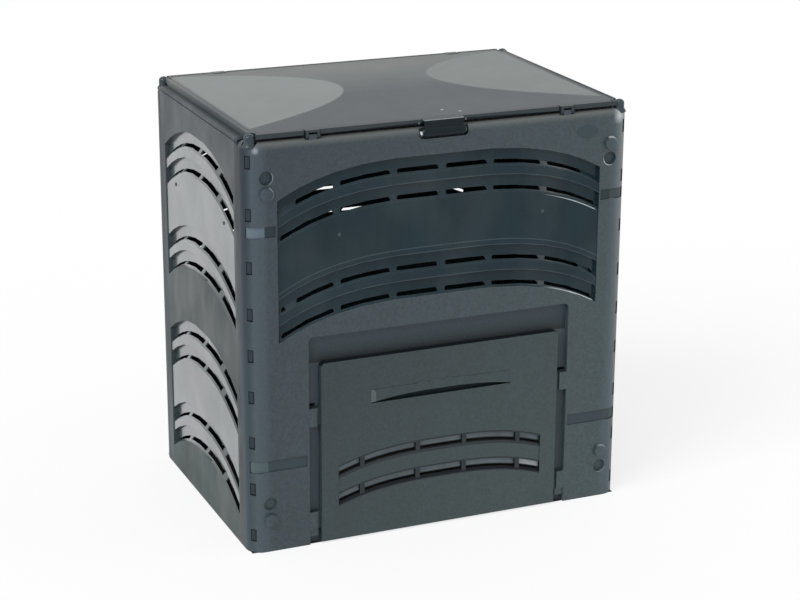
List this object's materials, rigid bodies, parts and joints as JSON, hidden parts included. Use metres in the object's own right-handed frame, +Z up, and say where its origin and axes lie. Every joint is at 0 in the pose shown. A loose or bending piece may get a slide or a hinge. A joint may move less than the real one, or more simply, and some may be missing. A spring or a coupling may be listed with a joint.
{
  "type": "compost bin with lid",
  "caption": "Rectangular garden compost bin of moulded plastic wall panels with arched ventilation louvres, a clip-hinged flat lid and a lift-out withdrawal door at the front.",
  "frame": {"origin": "on the ground under the middle of the bin", "axes": "+Z up, front with the door faces -Y, +X to the right as seen from the front"},
  "size_m": [0.75, 0.538, 0.781],
  "materials": {
    "panel": "fine matt grain on the frame, glossier in the louvre field",
    "side": "satin, glossier and paler in the louvre fields",
    "door": "satin",
    "lid": "satin, with two glossy half ellipses",
    "rod": "satin"
  },
  "bodies": {
    "bin": {"front_panel": "panel", "back_panel": "panel", "left_panel": "side", "right_panel": "side", "rod_front_left": "rod", "rod_front_right": "rod", "rod_back_left": "rod", "rod_back_right": "rod"},
    "lid": {"lid": "lid"},
    "door": {"door": "door"}
  },
  "joints": [
    {"name": "lid_hinge", "type": "hinge", "parent": "bin", "child": "lid", "pos_m": [0, 0.255, 0.77], "axis": [-1, 0, 0], "range_deg": [0, 98]},
    {"name": "door_lift", "type": "slide", "parent": "bin", "child": "door", "axis": [0, 0, 1], "range_m": [0, 0.048]}
  ]
}
